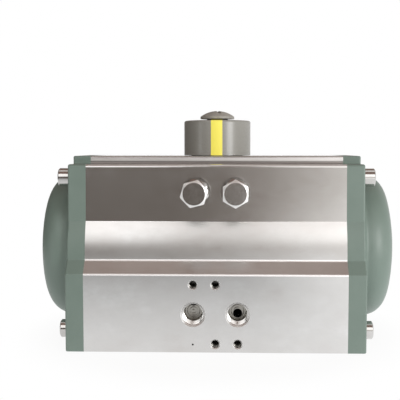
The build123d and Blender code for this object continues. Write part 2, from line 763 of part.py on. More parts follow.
# Position indicator: moulded cap with a keyed hub carried by four ribs
hub_base = circlip_base + circlip_thickness + circlip_headroom
with BuildPart() as indicator_cap:
    with BuildSketch(Plane.XY.offset(indicator_base)):
        Circle(indicator_radius)
    extrude(amount=indicator_top - indicator_base)
    fillet(indicator_cap.faces().sort_by(Axis.Z)[-1].edges(), indicator_edge_radius)
    with BuildSketch(Plane.XY.offset(indicator_base)):
        Circle(indicator_radius - indicator_wall)
    extrude(amount=roof_base - indicator_base, mode=Mode.SUBTRACT)
    with BuildSketch(Plane.XY.offset(hub_base)):
        Circle(indicator_hub_diameter / 2)
        Rectangle(indicator_rib, indicator_diameter - indicator_wall)
        Rectangle(indicator_diameter - indicator_wall, indicator_rib)
    extrude(amount=roof_base - hub_base)
    with BuildSketch(Plane.XY.offset(hub_base)):
        Circle(shaft_key_diameter / 2 + running_clearance)
        Rectangle(
            shaft_key_flats + 2 * running_clearance, indicator_diameter, mode=Mode.INTERSECT
        )
    extrude(amount=roof_base - hub_base, mode=Mode.SUBTRACT)
    with BuildSketch(Plane.XY.offset(hub_base)):
        Circle(spigot_hole_radius)
    extrude(amount=indicator_height, mode=Mode.SUBTRACT)
    add(indicator_stripe.part, mode=Mode.SUBTRACT)
indicator_cap.part.label = "indicator_cap"

with BuildPart() as indicator_washer:
    with BuildSketch(Plane.XY.offset(indicator_top)):
        Circle(indicator_washer_diameter / 2)
        Circle(shaft_thread_diameter / 2 + running_clearance, mode=Mode.SUBTRACT)
    extrude(amount=indicator_washer_thickness)
indicator_washer.part.label = "indicator_washer"

# Mushroom-headed screw that holds the indicator on the shaft
screw_seat = indicator_top + indicator_washer_thickness
screw_top = screw_seat + indicator_screw_head_height
screw_head_radius = indicator_screw_head_diameter / 2
with BuildPart() as indicator_screw:
    with BuildSketch(Plane.XZ):
        with BuildLine():
            seat = Line((0, screw_seat), (screw_head_radius, screw_seat))
            rim = Line(seat @ 1, (screw_head_radius, screw_seat + indicator_screw_rim))
            mushroom = TangentArc((0, screw_top), rim @ 1, tangent=(1, 0))
            Line(mushroom @ 0, seat @ 0)
        make_face()
    revolve(axis=Axis.Z)
    with BuildSketch(Plane.XY.offset(screw_top)):
        Rectangle(
            indicator_screw_slot, indicator_screw_head_diameter, rotation=indicator_screw_turn
        )
    extrude(amount=-indicator_screw_slot_depth, mode=Mode.SUBTRACT)
    with BuildSketch(Plane.XY.offset(screw_seat)):
        Circle(shaft_thread_diameter / 2)
    extrude(amount=-indicator_screw_length)
indicator_screw.part.label = "indicator_screw"

# Right piston: a crown across the bore and a rack arm along the front of the pinion
piston_radius = bore_radius - piston_clearance
rack_root = pitch_radius + 1.25 * gear_module
rack_tooth_foot = tooth_pitch / 2 - backlash / 2 + 2.5 * gear_module * tan(radians(pressure_angle))
rack_back_radius = bore_radius - rack_back_clearance
pad_seat_radius = bore_radius - rack_pad_thickness
seal_base = crown_outer - piston_land - piston_seal_width
band_base = crown_inner + piston_land

with BuildPart() as piston_right:
    with BuildSketch(Plane.YZ.offset(crown_inner)):
        with Locations((0, bore_height)):
            Circle(piston_radius)
    extrude(amount=crown_thickness)
    with BuildSketch(Plane.YZ.offset(-rack_end)):
        with Locations((0, bore_height)):
            Circle(rack_back_radius)
        with Locations((-rack_root, bore_height)):
            Rectangle(
                bore_radius,
                rack_height,
                align=(Align.MAX, Align.CENTER),
                mode=Mode.INTERSECT,
            )
    extrude(amount=rack_end + crown_inner)
    with BuildSketch(Plane.XY.offset(bore_height - rack_height / 2)):
        with Locations((-tooth_pitch * (rack_teeth - 1 - 2 * rack_teeth_past_axis) / 2, -rack_root)):
            with GridLocations(tooth_pitch, 0, rack_teeth, 1):
                Trapezoid(
                    rack_tooth_foot,
                    2.25 * gear_module,
                    90 - pressure_angle,
                    align=(Align.CENTER, Align.MIN),
                )
    extrude(amount=rack_height)
    # grooves of the guide band, the piston seal and the rack pad
    with BuildSketch(Plane.YZ.offset(seal_base)):
        with Locations((0, bore_height)):
            Circle(piston_radius)
            Circle(bore_radius - piston_seal_depth, mode=Mode.SUBTRACT)
    extrude(amount=piston_seal_width, mode=Mode.SUBTRACT)
    with BuildSketch(Plane.YZ.offset(band_base)):
        with Locations((0, bore_height)):
            Circle(piston_radius)
            Circle(bore_radius - guide_band_thickness, mode=Mode.SUBTRACT)
    extrude(amount=guide_band_width, mode=Mode.SUBTRACT)
    with BuildSketch(Plane.YZ.offset(-rack_end + piston_land)):
        with Locations((0, bore_height)):
            Circle(bore_radius)
            Circle(pad_seat_radius, mode=Mode.SUBTRACT)
            Rectangle(
                bore_radius,
                rack_pad_width,
                align=(Align.MAX, Align.CENTER),
                mode=Mode.INTERSECT,
            )
    extrude(amount=rack_pad_length, mode=Mode.SUBTRACT)
    # spring seats that the same casting has for the spring-return version
    with BuildSketch(Plane.YZ.offset(crown_outer)):
        with Locations((0, bore_height)):
            with PolarLocations(spring_seat_circle / 2, 6):
                Circle(spring_seat_diameter / 2)
    extrude(amount=-spring_seat_depth, mode=Mode.SUBTRACT)
piston_right.part.label = "piston_right"

with BuildPart() as piston_left:
    add(piston_right.part, rotation=(0, 0, 180))
piston_left.part.label = "piston_left"

# Wear parts of the right piston, then the same ones turned for the left piston
with BuildPart() as piston_seal_right:
    with BuildSketch(Plane.YZ.offset(seal_base)):
        with Locations((0, bore_height)):
            Circle(bore_radius - running_clearance)
            Circle(bore_radius - piston_seal_depth + seat_clearance, mode=Mode.SUBTRACT)
    extrude(amount=piston_seal_width)
piston_seal_right.part.label = "piston_seal_right"

with BuildPart() as guide_band_right:
    with BuildSketch(Plane.YZ.offset(band_base)):
        with Locations((0, bore_height)):
            Circle(bore_radius - running_clearance)
            Circle(bore_radius - guide_band_thickness + seat_clearance, mode=Mode.SUBTRACT)
    extrude(amount=guide_band_width)
guide_band_right.part.label = "guide_band_right"

with BuildPart() as rack_pad_right:
    with BuildSketch(Plane.YZ.offset(-rack_end + piston_land)):
        with Locations((0, bore_height)):
            Circle(bore_radius - running_clearance)
            Circle(pad_seat_radius + seat_clearance, mode=Mode.SUBTRACT)
            Rectangle(
                bore_radius,
                rack_pad_width,
                align=(Align.MAX, Align.CENTER),
                mode=Mode.INTERSECT,
            )
    extrude(amount=rack_pad_length)
rack_pad_right.part.label = "rack_pad_right"

with BuildPart() as piston_seal_left:
    add(piston_seal_right.part, rotation=(0, 0, 180))
piston_seal_left.part.label = "piston_seal_left"

with BuildPart() as guide_band_left:
    add(guide_band_right.part, rotation=(0, 0, 180))
guide_band_left.part.label = "guide_band_left"

with BuildPart() as rack_pad_left:
    add(rack_pad_right.part, rotation=(0, 0, 180))
rack_pad_left.part.label = "rack_pad_left"

pieces = [
    body, end_cap_left, end_cap_right, cap_seal_left, cap_seal_right, duct_seals,
    cap_screws_left, cap_screws_right, *stop_screws, locknuts,
    seal_washers, lower_bush, upper_bush, thrust_ring, pinion, lower_shaft_seal,
    upper_shaft_seal, stop_cam, thrust_washer, circlip, indicator_stripe, indicator_cap,
    indicator_washer, indicator_screw, piston_left, piston_right, piston_seal_left,
    piston_seal_right, guide_band_left, guide_band_right, rack_pad_left, rack_pad_right,
]
os.makedirs("parts", exist_ok=True)
for piece in pieces:
    export_step(piece.part, f"parts/{piece.part.label}.step")
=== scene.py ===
from math import atan2, cos, degrees, pi, radians, sin, tan

import bmesh
import bpy
from mathutils import Matrix, Vector


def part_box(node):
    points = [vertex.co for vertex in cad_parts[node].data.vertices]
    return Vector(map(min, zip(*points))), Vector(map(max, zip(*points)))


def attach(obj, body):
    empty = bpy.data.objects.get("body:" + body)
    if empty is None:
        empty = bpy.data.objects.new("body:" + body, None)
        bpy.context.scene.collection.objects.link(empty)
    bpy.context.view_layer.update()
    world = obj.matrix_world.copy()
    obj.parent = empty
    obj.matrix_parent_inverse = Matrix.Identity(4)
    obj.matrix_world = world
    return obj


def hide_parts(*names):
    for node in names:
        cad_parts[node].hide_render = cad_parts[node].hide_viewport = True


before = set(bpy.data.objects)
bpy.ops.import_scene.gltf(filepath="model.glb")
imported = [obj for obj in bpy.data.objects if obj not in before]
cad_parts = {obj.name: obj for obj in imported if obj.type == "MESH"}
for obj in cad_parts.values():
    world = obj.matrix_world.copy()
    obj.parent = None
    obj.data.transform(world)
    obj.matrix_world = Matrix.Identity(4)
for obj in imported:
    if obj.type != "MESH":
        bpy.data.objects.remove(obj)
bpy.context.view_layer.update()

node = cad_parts

# Camera: the photographer stood square to the port panel, a little above the pad,
# and looked slightly down. The lens is shifted a little to frame the object.
look_down, look_left = 3.953, 1.644

view = bpy.data.cameras.new("view")
view.sensor_width = 36
view.lens = 67.73
view.shift_x = -0.03
camera = bpy.data.objects.new("camera", view)
camera.location = (0.00968, -0.44826, 0.1095)
camera.rotation_euler = (radians(90 - look_down), 0, radians(look_left))
bpy.context.scene.collection.objects.link(camera)
bpy.context.scene.camera = camera
bpy.context.scene.view_settings.view_transform = "Standard"

# Table: a round sheet of white paper, lit from below as on a light table, so that the
# object leaves only a faint shadow on it. The metal sees it fade into the dark in front.
sheet_radius, sheet_drop = 0.5, 0.0004
paper_white = (0.93, 0.93, 0.925)
shadow_reach, shadow_end, glow_under_object = 0.08, 0.125, 0.92
far_front, near_front = -0.42, -0.07
glow_far_front, glow_near_front = 0.30, 0.86
right_start, right_end = 0.02, 0.12
right_share, right_glow = 0.85, 1.14


def feed(tree, value, socket):
    """Gives a socket a number, a colour, or what another node's socket says."""
    if isinstance(value, tuple):
        socket.default_value = (*value, 1)
    elif isinstance(value, (int, float)):
        socket.default_value = value
    else:
        tree.links.new(value, socket)


def axes(tree, coordinates="Object"):
    """The place of each point along X, Y and Z."""
    split = tree.nodes.new("ShaderNodeSeparateXYZ")
    place = tree.nodes.new("ShaderNodeTexCoord")
    feed(tree, place.outputs[coordinates], split.inputs["Vector"])
    return split.outputs["X"], split.outputs["Y"], split.outputs["Z"]


def join(tree, operation, first, second=0):
    """One Math node on one or two values."""
    joined = tree.nodes.new("ShaderNodeMath")
    joined.operation = operation
    feed(tree, first, joined.inputs[0])
    feed(tree, second, joined.inputs[1])
    return joined.outputs["Value"]


def distance(tree, across, along, middle=(0, 0)):
    """How far each point lies from middle, a place on the same two axes."""
    squares = [join(tree, "POWER", join(tree, "SUBTRACT", axis, place), 2)
               for axis, place in zip((across, along), middle)]
    return join(tree, "SQRT", join(tree, "ADD", *squares))


def spread(tree, value, low, high, start=0.3, end=0.7, smooth=False):
    """Runs from low to high while value goes from start to end, by default a noise's range."""
    step = tree.nodes.new("ShaderNodeMapRange")
    if smooth:
        step.interpolation_type = "SMOOTHSTEP"
    for name, number in (("From Min", start), ("From Max", end), ("To Min", low), ("To Max", high)):
        step.inputs[name].default_value = number
    feed(tree, value, step.inputs["Value"])
    return step.outputs["Result"]


def rising(tree, value, start, end, top=1, smooth=False):
    """0 up to start, rising to top at end."""
    return spread(tree, value, 0, top, start, end, smooth)


def level(tree, share, first, second):
    """A number from first to second, chosen by share."""
    mix = tree.nodes.new("ShaderNodeMix")
    feed(tree, first, mix.inputs["A"])
    feed(tree, second, mix.inputs["B"])
    feed(tree, share, mix.inputs["Factor"])
    return mix.outputs["Result"]


def mix_shaders(tree, share, first, second, output):
    """Lays the second shader over the first by share, as what the output node shows."""
    mix = tree.nodes.new("ShaderNodeMixShader")
    feed(tree, share, mix.inputs["Fac"])
    feed(tree, first.outputs[0], mix.inputs[1])
    feed(tree, second.outputs[0], mix.inputs[2])
    feed(tree, mix.outputs["Shader"], tree.nodes.new(output).inputs["Surface"])


sheet_mesh = bpy.data.meshes.new("white_sheet")
sheet_form = bmesh.new()
bmesh.ops.create_circle(sheet_form, cap_ends=True, segments=96, radius=sheet_radius)
sheet_form.to_mesh(sheet_mesh)
sheet_form.free()
white_sheet = bpy.data.objects.new("white_sheet", sheet_mesh)
bpy.context.scene.collection.objects.link(white_sheet)
white_sheet.location = (0, 0, -sheet_drop)

paper = bpy.data.materials.new("paper")
paper.use_nodes = True
tree = paper.node_tree
tree.nodes.clear()
across, depth, _ = axes(tree)
ray = tree.nodes.new("ShaderNodeLightPath")
glow_in_front = spread(tree, depth, glow_far_front, glow_near_front, far_front, near_front)
to_the_right = rising(tree, across, right_start, right_end, top=right_share)
glow_in_metal = level(tree, to_the_right, glow_in_front, right_glow)
glow = tree.nodes.new("ShaderNodeEmission")
feed(tree, level(tree, ray.outputs["Is Camera Ray"], glow_in_metal, 1), glow.inputs["Strength"])
matt = tree.nodes.new("ShaderNodeBsdfDiffuse")
feed(tree, paper_white, matt.inputs["Color"])
glow_share = spread(tree, distance(tree, across, depth), glow_under_object, 1,
                    shadow_reach, shadow_end, smooth=True)
mix_shaders(tree, glow_share, matt, glow, "ShaderNodeOutputMaterial")
sheet_mesh.materials.append(paper)

# Room: dark on the left, pale on the right and paler still low down there, with brown above
# the lamps and white straight overhead. Metal also sees a low white wall behind the object.
# Each tone stands at a place from -1 at the far left to 1 at the far right.
left_end, right_end = (0.11, 0.10, 0.09), (0.66, 0.65, 0.64)
wall_tones = (
    (-0.03, (0.15, 0.13, 0.115)),
    (0.03, (0.27, 0.24, 0.22)),
    (0.08, (0.38, 0.35, 0.32)),
    (0.12, (0.52, 0.49, 0.46)),
    (0.16, (0.76, 0.73, 0.70)),
    (0.30, (0.80, 0.78, 0.75)),
    (0.45, (0.60, 0.58, 0.56)),
)
ceiling_brown, overhead_white, corner_white = (0.245, 0.170, 0.140), (1, 0.98, 0.96), (1.35, 1.33, 1.32)
ceiling_start, ceiling_end = 0.45, 0.75
overhead_start, overhead_end = 0.952, 0.976
corner_bottom, corner_top = -0.05, 0.01
corner_left, corner_right = 0.04, 0.13
wall_front, wall_back = -0.05, 0.15
wall_left, wall_right = -0.50, -0.20
wall_full, wall_top = 0.10, 0.24


def tint(tree, share, first, second):
    """A colour from first to second, chosen by share."""
    mix = tree.nodes.new("ShaderNodeMix")
    mix.data_type = "RGBA"
    feed(tree, first, mix.inputs["A"])
    feed(tree, second, mix.inputs["B"])
    feed(tree, share, mix.inputs["Factor"])
    return mix.outputs["Result"]


def falling(tree, value, start, end):
    """1 up to start, falling to 0 at end."""
    return spread(tree, value, 1, 0, start, end)


def both(tree, first, second):
    """The part that two masks share."""
    return join(tree, "MULTIPLY", first, second)


def either(tree, first, second):
    """The part that lies in at least one of two masks."""
    return join(tree, "MAXIMUM", first, second)


room = bpy.data.worlds.new("room")
bpy.context.scene.world = room
room.use_nodes = True
tree = room.node_tree
tree.nodes.clear()
sideways, backwards, upwards = axes(tree, "Generated")

walls = tree.nodes.new("ShaderNodeValToRGB")
for stop, tone in zip(walls.color_ramp.elements, (left_end, right_end)):
    stop.color = (*tone, 1)
for place, tone in wall_tones:
    walls.color_ramp.elements.new((place + 1) / 2).color = (*tone, 1)
feed(tree, rising(tree, sideways, -1, 1), walls.inputs["Fac"])

ceiling = rising(tree, upwards, ceiling_start, ceiling_end, smooth=True)
overhead = rising(tree, upwards, overhead_start, overhead_end, smooth=True)
low_corner = both(tree, falling(tree, upwards, corner_bottom, corner_top),
                  rising(tree, sideways, corner_left, corner_right))
room_colour = tint(tree, ceiling, walls.outputs["Color"], ceiling_brown)
room_colour = tint(tree, overhead, room_colour, overhead_white)
room_colour = tint(tree, low_corner, room_colour, corner_white)

low_wall = both(tree, rising(tree, backwards, wall_front, wall_back, smooth=True),
                rising(tree, sideways, wall_left, wall_right))
low_wall = both(tree, low_wall, falling(tree, upwards, wall_full, wall_top))
ray = tree.nodes.new("ShaderNodeLightPath")
in_mirror = either(tree, ray.outputs["Is Glossy Ray"], ray.outputs["Is Transmission Ray"])
seen_white = either(tree, ray.outputs["Is Camera Ray"], both(tree, in_mirror, low_wall))

room_light = tree.nodes.new("ShaderNodeBackground")
feed(tree, room_colour, room_light.inputs["Color"])
backdrop = tree.nodes.new("ShaderNodeBackground")
feed(tree, (1, 1, 1), backdrop.inputs["Color"])
mix_shaders(tree, seen_white, room_light, backdrop, "ShaderNodeOutputWorld")


# Lamps: two large softboxes behind the camera with a gap between them, a brighter one at
# the right, which gives the round pieces their highlight, and a small one at the left.
def softbox(name, place, aim_height, width, height, watts):
    """A rectangular lamp at place, turned to face the drive axis at aim_height."""
    lamp = bpy.data.lights.new(name, "AREA")
    lamp.shape = "RECTANGLE"
    lamp.size, lamp.size_y, lamp.energy = width, height, watts
    box = bpy.data.objects.new(name, lamp)
    box.location = place
    aim = Vector((0, 0, aim_height)) - Vector(place)
    box.rotation_euler = aim.to_track_quat("-Z", "Y").to_euler()
    bpy.context.scene.collection.objects.link(box)


softbox("left_softbox", (-0.34, -0.70, 0.45), aim_height=0.06, width=0.60, height=0.46, watts=1.18)
softbox("right_softbox", (0.26, -0.72, 0.45), aim_height=0.06, width=0.42, height=0.46, watts=0.63)
softbox("key_softbox", (0.69, -0.69, 0.24), aim_height=0.11, width=0.34, height=0.36, watts=4.1)
softbox("left_strip", (-0.72, -0.42, 0.08), aim_height=0.08, width=0.10, height=0.24, watts=0.31)

# Body: one length of extruded aluminium alloy, bored for the pistons, milled flat at the
# port panel, drilled and clear anodised. The die leaves a fine grain along the bore.
# A tenth of a millimetre is the step in which the soft edges of its colours are given.
tenth = 0.0001
panel_face, crease_height, shoulder_height = -0.052, 0.06975, 0.1006
pad_foot, pad_edge, pad_top = 0.1022, 0.1042, 0.10505
# Heights of the two flank edges that get a painted highlight.
highlight_edge_heights = (0.0420, 0.0491)
port_side, port_height, port_floor = 0.012, 0.0207, -0.0414
port_radius, port_mouth = 0.0062, 0.0067
screw_side, row_offset = 0.012, 0.016
upper_row, lower_row = port_height + row_offset, port_height - row_offset
screw_holes = ((-screw_side, upper_row), (0, upper_row), (0, lower_row), (screw_side, lower_row))
screw_hole_radius, screw_mouth = 0.0022, 0.0027
index_hole, index_radius = (-0.012, 0.0045), 0.00045
holes_end = -0.038
ring_frequency = 4600

dull_anodising, light_anodising, handled = (0.71, 0.69, 0.675), (0.83, 0.83, 0.825), (0.755, 0.748, 0.737)
# Painted shade for the inner corner at the pad's foot, and a painted dark reflection for the pad's top
# edge.
painted_foot_shade, painted_rim_reflection = (0.16, 0.13, 0.115), (0.30, 0.26, 0.24)
# Painted highlights for two flank edges and for the pad's sides.
painted_edge_highlight, painted_pad_side_highlight = (0.99, 0.975, 0.965), (0.93, 0.91, 0.90)
# The port floors take a darker drilled grey with painted shade, the port mouths bare alloy, and the holes
# painted shade.
port_floor_grey_and_shade, mouth_bright, painted_hole_shade = (0.37, 0.355, 0.325), (0.90, 0.89, 0.88), (0.09, 0.088, 0.08)
drawn_roughness, milled_roughness, pad_side_roughness = 0.29, 0.15, 0.34
highlight_edge_roughness, mouth_roughness = 0.6, 0.40
drawn_depth, ring_depth = 0.0000015, 0.00005


def new_finish(name, colour, metallic, roughness):
    """A material with one surface shader; returns it with its node tree and that shader."""
    finish = bpy.data.materials.new(name)
    finish.use_nodes = True
    shader = finish.node_tree.nodes["Principled BSDF"]
    shader.inputs["Base Color"].default_value = (*colour, 1)
    shader.inputs["Metallic"].default_value = metallic
    shader.inputs["Roughness"].default_value = roughness
    return finish, finish.node_tree, shader


def grain(tree, per_metre, detail, roughness):
    """Noise on the piece's own coordinates, with its own count per metre along X, Y and Z."""
    place = tree.nodes.new("ShaderNodeTexCoord")
    stretch = tree.nodes.new("ShaderNodeMapping")
    stretch.inputs["Scale"].default_value = per_metre
    noise = tree.nodes.new("ShaderNodeTexNoise")
    noise.inputs["Scale"].default_value = 1
    noise.inputs["Detail"].default_value = detail
    noise.inputs["Roughness"].default_value = roughness
    feed(tree, place.outputs["Object"], stretch.inputs["Vector"])
    feed(tree, stretch.outputs["Vector"], noise.inputs["Vector"])
    return noise.outputs["Fac"]


def relief(tree, shader, *heights):
    """Stacks bump nodes, each from a value, a depth in metres and a strength."""
    below = None
    for value, deepness, strength in heights:
        bump = tree.nodes.new("ShaderNodeBump")
        bump.inputs["Distance"].default_value = deepness
        bump.inputs["Strength"].default_value = strength
        feed(tree, value, bump.inputs["Height"])
        if below is not None:
            feed(tree, below, bump.inputs["Normal"])
        below = bump.outputs["Normal"]
    feed(tree, below, shader.inputs["Normal"])


def dress(finish, *names):
    """Puts a finish on CAD nodes."""
    for name in names:
        mesh = node[name].data
        if not mesh.materials:
            mesh.materials.append(finish)
        for place in range(len(mesh.materials)):
            mesh.materials[place] = finish


anodised, tree, shader = new_finish("anodised_aluminium", (0.78, 0.775, 0.765), metallic=1, roughness=0.25)
across, depth, up = axes(tree)
drawn = grain(tree, (25, 1100, 1100), detail=3, roughness=0.6)
cloudy = grain(tree, (30, 42, 42), detail=4, roughness=0.6)
mottle = grain(tree, (150, 260, 260), detail=3, roughness=0.6)

port_reach = distance(tree, join(tree, "ABSOLUTE", across), up, (port_side, port_height))
on_front = falling(tree, depth, holes_end, holes_end + 20 * tenth)
# The port floors: darker drilled alloy with painted shade, and turned rings.
in_port = both(tree, falling(tree, port_reach, port_radius, port_radius + 2 * tenth),
               rising(tree, depth, port_floor - 3 * tenth, port_floor - tenth))
in_port = both(tree, in_port, on_front)
in_mouth = falling(tree, port_reach, port_mouth, port_mouth + tenth)
# Painted shade deep in the tapped holes and in the index hole.
index_reach = distance(tree, across, up, index_hole)
in_hole = falling(tree, index_reach, index_radius, index_radius + 1.5 * tenth)
past_mouth = rising(tree, depth, panel_face + 5 * tenth, panel_face + 11 * tenth)
for hole in screw_holes:
    reach = distance(tree, across, up, hole)
    in_mouth = either(tree, in_mouth, falling(tree, reach, screw_mouth, screw_mouth + tenth))
    in_bore = falling(tree, reach, screw_hole_radius, screw_hole_radius + tenth)
    in_hole = either(tree, in_hole, both(tree, in_bore, past_mouth))
in_hole = both(tree, in_hole, on_front)
on_mouth = both(tree, in_mouth, falling(tree, depth, panel_face + 8.5 * tenth, panel_face + 9.5 * tenth))

on_panel = rising(tree, join(tree, "ABSOLUTE", depth), -panel_face - 4 * tenth, -panel_face - tenth)
on_flat = both(tree, rising(tree, up, crease_height - 3 * tenth, crease_height),
               falling(tree, up, shoulder_height, shoulder_height + 2 * tenth))
on_pad = rising(tree, up, pad_edge, pad_edge + 2 * tenth)
milled = either(tree, either(tree, on_panel, on_flat), on_pad)
milled = either(tree, milled, both(tree, in_mouth, on_front))

# Painted shade: the inner corner at the pad's foot is darkened.
pad_foot_shade_mask = both(tree, rising(tree, up, shoulder_height, shoulder_height + 3 * tenth, top=0.75),
               falling(tree, up, pad_foot - 4 * tenth, pad_foot + 4 * tenth))
# Painted highlight: the pad's sides are made paler and a little rougher.
pad_side = both(tree, rising(tree, up, pad_foot, pad_foot + 5 * tenth),
                falling(tree, up, pad_edge - 2 * tenth, pad_edge + 2 * tenth))
# Painted dark reflection: a dark line along the pad's rounded top edge.
pad_rim = both(tree, rising(tree, up, pad_edge - tenth, pad_edge + 2 * tenth, top=0.8),
               falling(tree, up, pad_top - 2.5 * tenth, pad_top - 0.8 * tenth))
# Painted highlight: a pale line along the two flank edges, where the metal is also rougher.
highlight_edges = 0
for height in highlight_edge_heights:
    from_edge = join(tree, "ABSOLUTE", join(tree, "SUBTRACT", up, height))
    highlight_edges = either(tree, highlight_edges, falling(tree, from_edge, 4 * tenth, 6 * tenth))

colour = tint(tree, spread(tree, cloudy, 0, 1), dull_anodising, light_anodising)
colour = tint(tree, rising(tree, mottle, 0.35, 0.75), colour, handled)
for mask, tone in (
    (pad_foot_shade_mask, painted_foot_shade), (highlight_edges, painted_edge_highlight), (pad_side, painted_pad_side_highlight), (pad_rim, painted_rim_reflection),
    (in_port, port_floor_grey_and_shade), (on_mouth, mouth_bright), (in_hole, painted_hole_shade),
):
    colour = tint(tree, mask, colour, tone)
feed(tree, colour, shader.inputs["Base Color"])

rough = level(tree, milled, drawn_roughness, milled_roughness)
for mask, roughness in ((pad_side, pad_side_roughness), (highlight_edges, highlight_edge_roughness), (on_mouth, mouth_roughness)):
    rough = level(tree, mask, rough, roughness)
feed(tree, join(tree, "ADD", rough, spread(tree, mottle, -0.012, 0.018)), shader.inputs["Roughness"])

ring_phase = join(tree, "MULTIPLY", port_reach, ring_frequency)
turned_rings = both(tree, join(tree, "SINE", ring_phase), in_port)
relief(tree, shader, (drawn, drawn_depth, 0.2), (turned_rings, ring_depth, 0.6))
dress(anodised, "body")

# Tapped holes: the threads that a fitting, the solenoid valve, the valve flange and the
# accessories screw into, cut in the bare alloy after anodising. The M5 threads of the
# port panel lie in the shade. The ports are G 1/4 and the valve flange has M6 and M8.
bare_alloy_dark, bare_alloy_light = (0.74, 0.73, 0.715), (0.84, 0.835, 0.82)
alloy_in_shade = (0.12, 0.117, 0.106)
port_thread = {"wall": 0.00574, "crest": 0.00534, "pitch": 0.001337, "length": 0.0096, "segments": 40}
m5_thread = {"wall": 0.00212, "crest": 0.00184, "pitch": 0.0008, "segments": 24}
m6_thread = {"wall": 0.00252, "crest": 0.00222, "pitch": 0.001, "length": 0.0093, "segments": 24}
m8_thread = {"wall": 0.00342, "crest": 0.00306, "pitch": 0.00125, "length": 0.0118, "segments": 28}
crest_half_width, flank_angle = 0.12, 29
thread_start, port_thread_start, screw_thread_start = 0.0001, 0.0009, 0.0012
screw_thread_length, pad_thread_length = 0.0076, 0.0078
pad_hole_side, pad_hole_depth = 0.040, 0.015
small_flange_radius, large_flange_radius = 0.025, 0.035
flange_angles = (45, 135, 225, 315)
inwards_from_front, inwards_from_top, inwards_from_below = (0, 1, 0), (0, 0, -1), (0, 0, 1)

machined, tree, shader = new_finish("machined_aluminium", (0.80, 0.79, 0.775), metallic=1, roughness=0.2)
swarf = grain(tree, (1200, 1200, 1200), detail=3, roughness=0.6)
across, _, up = axes(tree)
# Painted shade: the threads deep in the M5 holes are darkened.
in_shade = 0
for hole in screw_holes:
    reach = distance(tree, across, up, hole)
    in_hole = falling(tree, reach, screw_hole_radius + 2 * tenth, screw_hole_radius + 3 * tenth)
    in_shade = either(tree, in_shade, in_hole)
colour = tint(tree, spread(tree, swarf, 0, 1), bare_alloy_dark, bare_alloy_light)
feed(tree, tint(tree, in_shade, colour, alloy_in_shade), shader.inputs["Base Color"])
feed(tree, spread(tree, swarf, 0.15, 0.28), shader.inputs["Roughness"])
relief(tree, shader, (swarf, 0.000006, 0.25))


def copy_into(form, source, place):
    """Adds the faces of source to form, moved to place, and frees source."""
    bmesh.ops.translate(source, verts=source.verts, vec=place)
    part = bpy.data.meshes.new("part")
    source.to_mesh(part)
    source.free()
    form.from_mesh(part)
    bpy.data.meshes.remove(part)


def wind_thread(form, foot, inwards, wall, crest, pitch, length, segments):
    """Winds one ridge of a right-hand thread from foot along inwards, on a wall of this radius."""
    ridge = bmesh.new()
    inwards = Vector(inwards)
    sideways = inwards.orthogonal().normalized()
    turns = int((length - pitch) / pitch)
    foot_half_width = crest_half_width + abs(wall - crest) * tan(radians(flank_angle)) / pitch
    profile = [
        ridge.verts.new(sideways * radius + inwards * pitch * (0.5 + along))
        for radius, along in ((wall, -foot_half_width), (crest, -crest_half_width),
                              (crest, crest_half_width), (wall, foot_half_width))
    ]
    edges = [ridge.edges.new((profile[i - 1], profile[i])) for i in range(4)]
    wound = bmesh.ops.spin(ridge, geom=profile + edges, cent=(0, 0, 0), axis=inwards,
                           dvec=inwards * pitch / segments, angle=2 * pi * turns, steps=segments * turns)
    end_edges = [part for part in wound["geom_last"] if isinstance(part, bmesh.types.BMEdge)]
    bmesh.ops.holes_fill(ridge, edges=edges + end_edges, sides=4)
    copy_into(form, ridge, foot)


def finish_piece(name, form, finish, body, replaced=(), sharp=40):
    """Turns a bmesh into a piece: closed, faces outwards, smooth but for its sharp edges."""
    bmesh.ops.remove_doubles(form, verts=form.verts, dist=1e-7)
    bmesh.ops.recalc_face_normals(form, faces=form.faces)
    for face in form.faces:
        face.smooth = True
    mesh = bpy.data.meshes.new(name)
    form.to_mesh(mesh)
    form.free()
    mesh.set_sharp_from_angle(angle=radians(sharp))
    mesh.materials.append(finish)
    piece = bpy.data.objects.new(name, mesh)
    bpy.context.scene.collection.objects.link(piece)
    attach(piece, body)
    if replaced:
        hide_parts(*replaced)


threads = bmesh.new()
for x in (-port_side, port_side):
    foot = (x, panel_face + port_thread_start, port_height)
    wind_thread(threads, foot, inwards_from_front, **port_thread)
for x, z in screw_holes:
    foot = (x, panel_face + screw_thread_start, z)
    wind_thread(threads, foot, inwards_from_front, length=screw_thread_length, **m5_thread)
for x in (-pad_hole_side, pad_hole_side):
    for y in (-pad_hole_depth, pad_hole_depth):
        foot = (x, y, pad_top - thread_start)
        wind_thread(threads, foot, inwards_from_top, length=pad_thread_length, **m5_thread)
for angle in flange_angles:
    east, north = cos(radians(angle)), sin(radians(angle))
    for radius, thread in ((small_flange_radius, m6_thread), (large_flange_radius, m8_thread)):
        wind_thread(threads, (radius * east, radius * north, thread_start), inwards_from_below, **thread)
finish_piece("tapped_threads", threads, machined, "housing")


# Bushes, thrust ring, guide bands and rack pads: turned and moulded acetal in its
# natural ivory. They carry the pinion and the pistons, and are pressed into their seats.
def speckle(tree, shader, tones, roughness, bumps):
    """Spreads noise over the colour and the roughness and makes bumps of it. Each of the three
    gives its noise first, then two colours, two numbers, or a depth in metres and a strength."""
    noise, dark, light = tones
    feed(tree, tint(tree, spread(tree, noise, 0, 1), dark, light), shader.inputs["Base Color"])
    feed(tree, spread(tree, *roughness), shader.inputs["Roughness"])
    relief(tree, shader, bumps)


